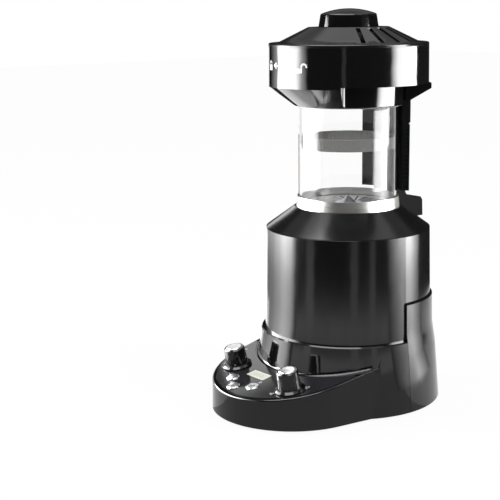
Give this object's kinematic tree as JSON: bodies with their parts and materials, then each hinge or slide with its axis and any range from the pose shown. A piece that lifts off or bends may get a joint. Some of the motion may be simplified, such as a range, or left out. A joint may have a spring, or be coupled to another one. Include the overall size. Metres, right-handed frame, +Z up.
{
  "type": "coffee bean roaster",
  "caption": "Hot-air home coffee roaster: black tower on a lobed control base, clear glass chamber, hinged chaff collector with slotted cover.",
  "frame": {"origin": "centre of the footprint, on the table", "axes": "+Z up, -Y towards the controls, +Y towards the hinge post"},
  "size_m": [0.171, 0.2254, 0.3551],
  "materials": {
    "gloss_black": "high gloss black",
    "satin_black": "satin black",
    "panel_grey": "glossy dark grey",
    "window": "pale display behind a clear window",
    "silver": "satin silver",
    "brushed": "brushed",
    "glass": "clear",
    "silicone": "matt",
    "foot_rubber": "matt",
    "sheet_steel": "plain sheet",
    "motor_grey": "satin",
    "fan_plastic": "matt",
    "mica": "matt",
    "wire": "plain",
    "board_green": "satin"
  },
  "bodies": {
    "roaster": {"base_housing": "gloss_black", "base_plate": "satin_black", "base_screws": "sheet_steel", "rubber_feet": "foot_rubber", "tower_front": "gloss_black", "tower_rear": "gloss_black", "shoulder_cap": "gloss_black", "cord_gland": "satin_black", "chamber_foot": "brushed", "foot_gasket": "silicone", "glass_tube": "glass", "air_plate": "sheet_steel", "bean_ring": "brushed", "rear_post": "gloss_black", "post_bracket": "gloss_black", "post_screws": "sheet_steel", "hinge_yoke": "gloss_black", "blower_housing": "fan_plastic", "fan_motor": "motor_grey", "motor_mount": "sheet_steel", "heater_can": "sheet_steel", "heater_core": "mica", "heater_coil": "wire", "thermal_cutout": "mica", "control_panel": "panel_grey", "display_window": "window", "control_board": "board_green", "potentiometers": "sheet_steel", "button_switches": "satin_black", "power_board": "board_green"},
    "lid": {"collector_drum": "gloss_black", "hinge_pin": "sheet_steel", "rim_gasket": "silicone", "chaff_riser": "sheet_steel"},
    "cover_core": {"knob_screw": "sheet_steel", "cover_mesh": "sheet_steel"},
    "cover": {"cover": "gloss_black", "cover_knob": "gloss_black"},
    "left_knob": {"left_knob": "gloss_black", "left_knob_cap": "silver", "left_knob_stem": "sheet_steel"},
    "right_knob": {"right_knob": "gloss_black", "right_knob_cap": "silver", "right_knob_stem": "sheet_steel"},
    "power_button": {"power_button": "silver"},
    "start_button": {"start_button": "silver"},
    "cool_button": {"cool_button": "silver"},
    "fan": {"impeller": "fan_plastic", "motor_shaft": "sheet_steel"}
  },
  "joints": [
    {"name": "lid_hinge", "type": "hinge", "parent": "roaster", "child": "lid", "pos_m": [0, 0.1037, 0.2885], "axis": [-1, 0, 0], "range_deg": [0, 95]},
    {"name": "cover_lift", "type": "slide", "parent": "lid", "child": "cover_core", "axis": [0, 0, 1], "range_m": [0, 0.03]},
    {"name": "cover_twist", "type": "hinge", "parent": "cover_core", "child": "cover", "pos_m": [0, 0.0272, 0.3225], "axis": [0, 0, 1], "range_deg": [0, 30]},
    {"name": "left_knob_turn", "type": "hinge", "parent": "roaster", "child": "left_knob", "pos_m": [-0.0419, -0.07043, 0.03406], "axis": [0, -0.1925, 0.9813], "range_deg": [0, 270]},
    {"name": "right_knob_turn", "type": "hinge", "parent": "roaster", "child": "right_knob", "pos_m": [0.0419, -0.07618, 0.03294], "axis": [0, -0.1925, 0.9813], "range_deg": [0, 270]},
    {"name": "power_button_press", "type": "slide", "parent": "roaster", "child": "power_button", "axis": [0, 0.1925, -0.9813], "range_m": [0, 0.001], "stiffness_N_per_m": 500, "springref_m": -0.001},
    {"name": "start_button_press", "type": "slide", "parent": "roaster", "child": "start_button", "axis": [0, 0.1925, -0.9813], "range_m": [0, 0.001], "stiffness_N_per_m": 500, "springref_m": -0.001},
    {"name": "cool_button_press", "type": "slide", "parent": "roaster", "child": "cool_button", "axis": [0, 0.1925, -0.9813], "range_m": [0, 0.001], "stiffness_N_per_m": 500, "springref_m": -0.001},
    {"name": "fan_spin", "type": "hinge", "parent": "roaster", "child": "fan", "pos_m": [0, 0.0272, 0.03], "axis": [0, 0, 1], "continuous": true}
  ]
}
